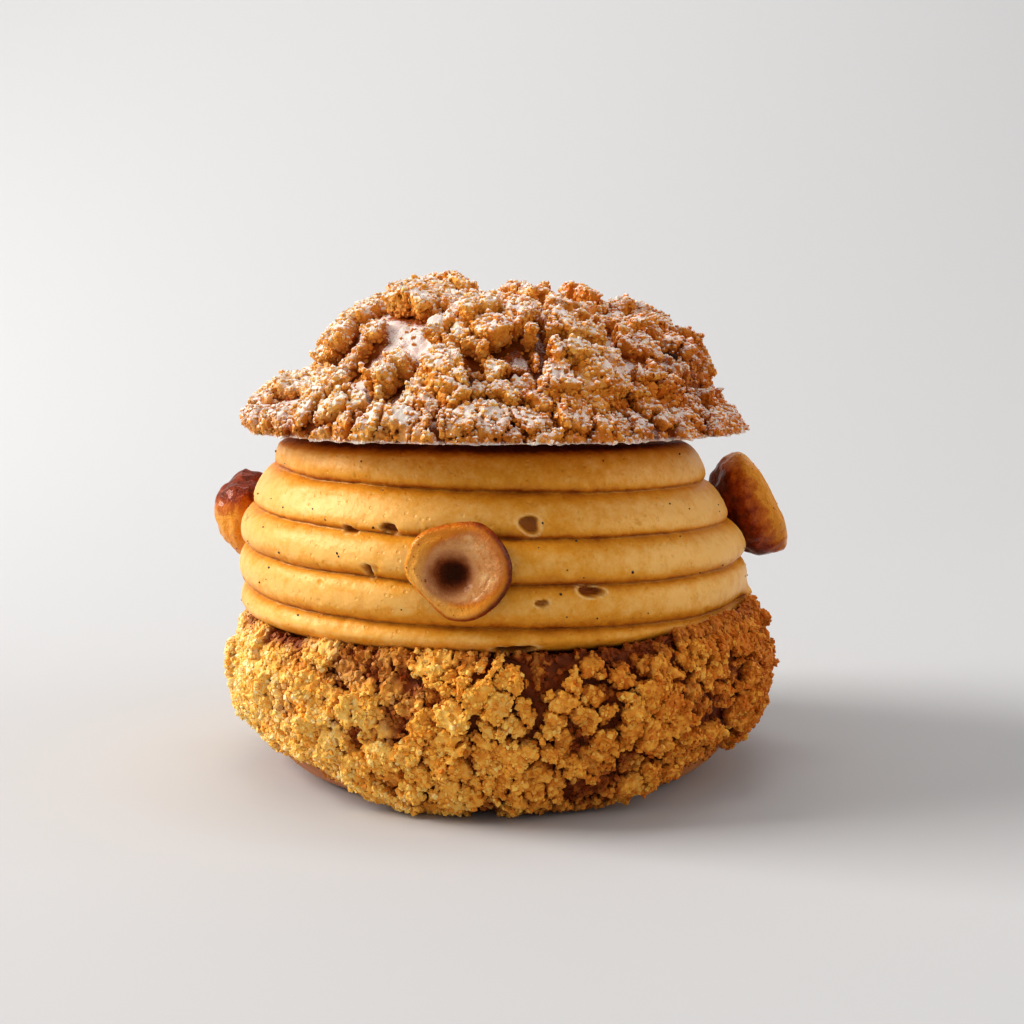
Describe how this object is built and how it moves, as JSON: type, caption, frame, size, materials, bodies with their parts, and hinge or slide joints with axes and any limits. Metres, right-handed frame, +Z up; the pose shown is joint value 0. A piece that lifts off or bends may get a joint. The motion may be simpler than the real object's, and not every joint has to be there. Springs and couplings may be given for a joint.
{
  "type": "paris brest pastry",
  "caption": "Round craquelin choux bun split by a barrel of praline cream piped as one coiled rope, with caramelised hazelnut halves pressed into its side.",
  "frame": {"origin": "middle of the flat foot under the base", "axes": "+Z up out of the foot; -Y towards the front, where one hazelnut half shows its cut face; +X to the right"},
  "size_m": [0.0841, 0.0792, 0.0711],
  "materials": {
    "craquelin": "rough, crumbly baked crust",
    "praline_cream": "satin, smooth",
    "sugared_craquelin": "rough, crumbly baked crust dusted with sugar",
    "caramelised_hazelnut": "glossy caramel skin"
  },
  "bodies": {
    "root": {"choux_base": "craquelin", "praline_cream": "praline_cream", "choux_cap": "sugared_craquelin", "hazelnut_front": "caramelised_hazelnut", "hazelnut_right": "caramelised_hazelnut", "hazelnut_back": "caramelised_hazelnut", "hazelnut_left": "caramelised_hazelnut"}
  },
  "joints": []
}
